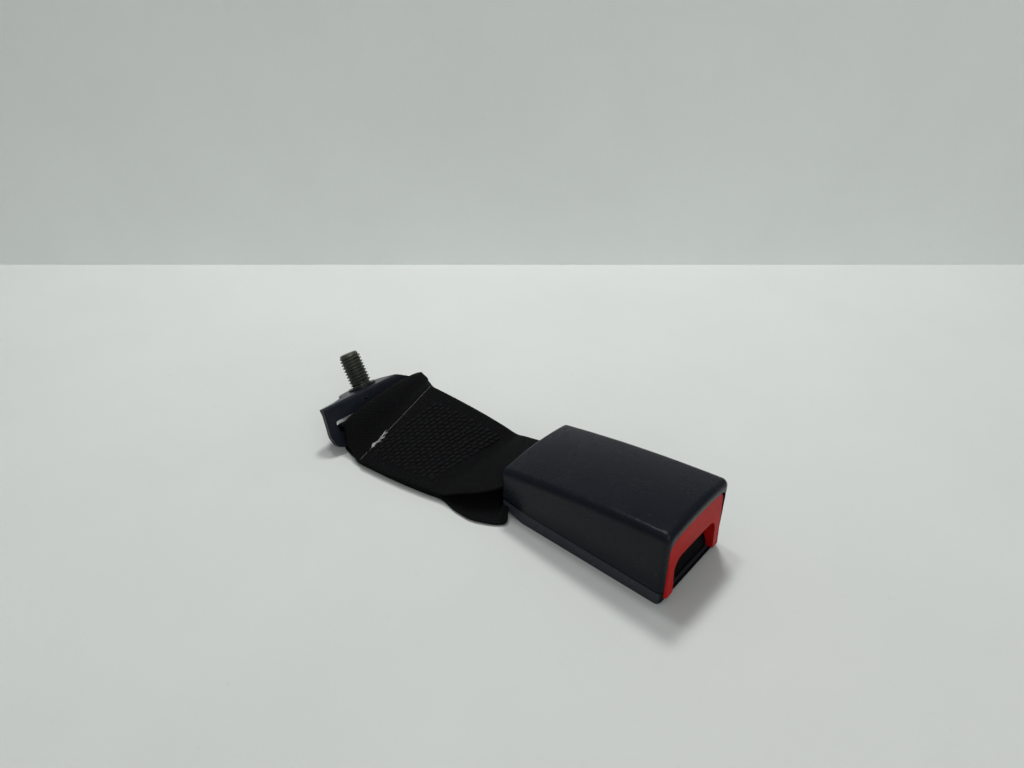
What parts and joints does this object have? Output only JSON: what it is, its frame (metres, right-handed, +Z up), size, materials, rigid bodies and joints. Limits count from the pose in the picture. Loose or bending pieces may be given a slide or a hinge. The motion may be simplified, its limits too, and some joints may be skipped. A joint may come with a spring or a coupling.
{
  "type": "seat belt buckle",
  "caption": "Seat belt buckle with a push button, short sewn webbing loop, bent anchor plate and anchor bolt; it locks a belt tongue and ties it to a vehicle.",
  "frame": {"origin": "centre of the buckle's flat bottom face", "axes": "+X from the webbing to the push button, +Y across the buckle, +Z up from the bottom face"},
  "size_m": [0.1846, 0.0628, 0.0339],
  "materials": {
    "upper_cover": "grained",
    "lower_cover": "grained",
    "press_button": "satin",
    "release_cam": "zinc plated",
    "button_springs": "drawn wire",
    "buckle_frame": "zinc plated",
    "latch_plate": "hardened",
    "latch_pin": "ground",
    "latch_spring": "drawn wire",
    "ejector": "natural acetal",
    "ejector_spring": "drawn wire",
    "tongue_guide": "smooth",
    "webbing_guard": "smooth",
    "webbing_strap": "woven polyester",
    "strap_stitching": "polyester thread",
    "anchor_plate": "dark e-coat",
    "anchor_bolt": "olive zinc",
    "retaining_ring": "nylon"
  },
  "bodies": {
    "buckle": {"upper_cover": "upper_cover", "lower_cover": "lower_cover", "buckle_frame": "buckle_frame", "tongue_guide": "tongue_guide", "webbing_guard": "webbing_guard", "latch_pin": "latch_pin", "webbing_strap": "webbing_strap", "strap_stitching": "strap_stitching", "button_springs": "button_springs", "latch_spring": "latch_spring", "ejector_spring": "ejector_spring"},
    "button": {"press_button": "press_button", "release_cam": "release_cam"},
    "latch": {"latch_plate": "latch_plate"},
    "ejector": {"ejector": "ejector"},
    "anchor": {"anchor_plate": "anchor_plate"},
    "bolt": {"anchor_bolt": "anchor_bolt", "retaining_ring": "retaining_ring"}
  },
  "joints": [
    {"name": "button_press", "type": "slide", "parent": "buckle", "child": "button", "axis": [-1, 0, 0], "range_m": [0, 0.006], "stiffness_N_per_m": 900, "springref_m": -0.003, "deforming": ["button_springs"]},
    {"name": "latch_lift", "type": "hinge", "parent": "buckle", "child": "latch", "pos_m": [-0.01125, 0, 0.0172], "axis": [0, -1, 0], "range_deg": [0, 10.5], "deforming": ["latch_spring"]},
    {"name": "ejector_slide", "type": "slide", "parent": "buckle", "child": "ejector", "axis": [-1, 0, 0], "range_m": [0, 0.01], "stiffness_N_per_m": 400, "springref_m": -0.006, "deforming": ["ejector_spring"]},
    {"name": "anchor_swing", "type": "hinge", "parent": "buckle", "child": "anchor", "pos_m": [-0.11619, -0.01213, 0.00515], "axis": [0.057, 0.9984, 0], "range_deg": [-12, 12]},
    {"name": "anchor_bolt_spin", "type": "hinge", "parent": "anchor", "child": "bolt", "pos_m": [-0.13406, -0.01081, 0.01312], "axis": [-0.5172, 0.0295, 0.8554], "continuous": true}
  ],
  "couplings": [
    {"joint": "latch_lift", "follows": "button_press", "rad_per_m": 30.54}
  ]
}
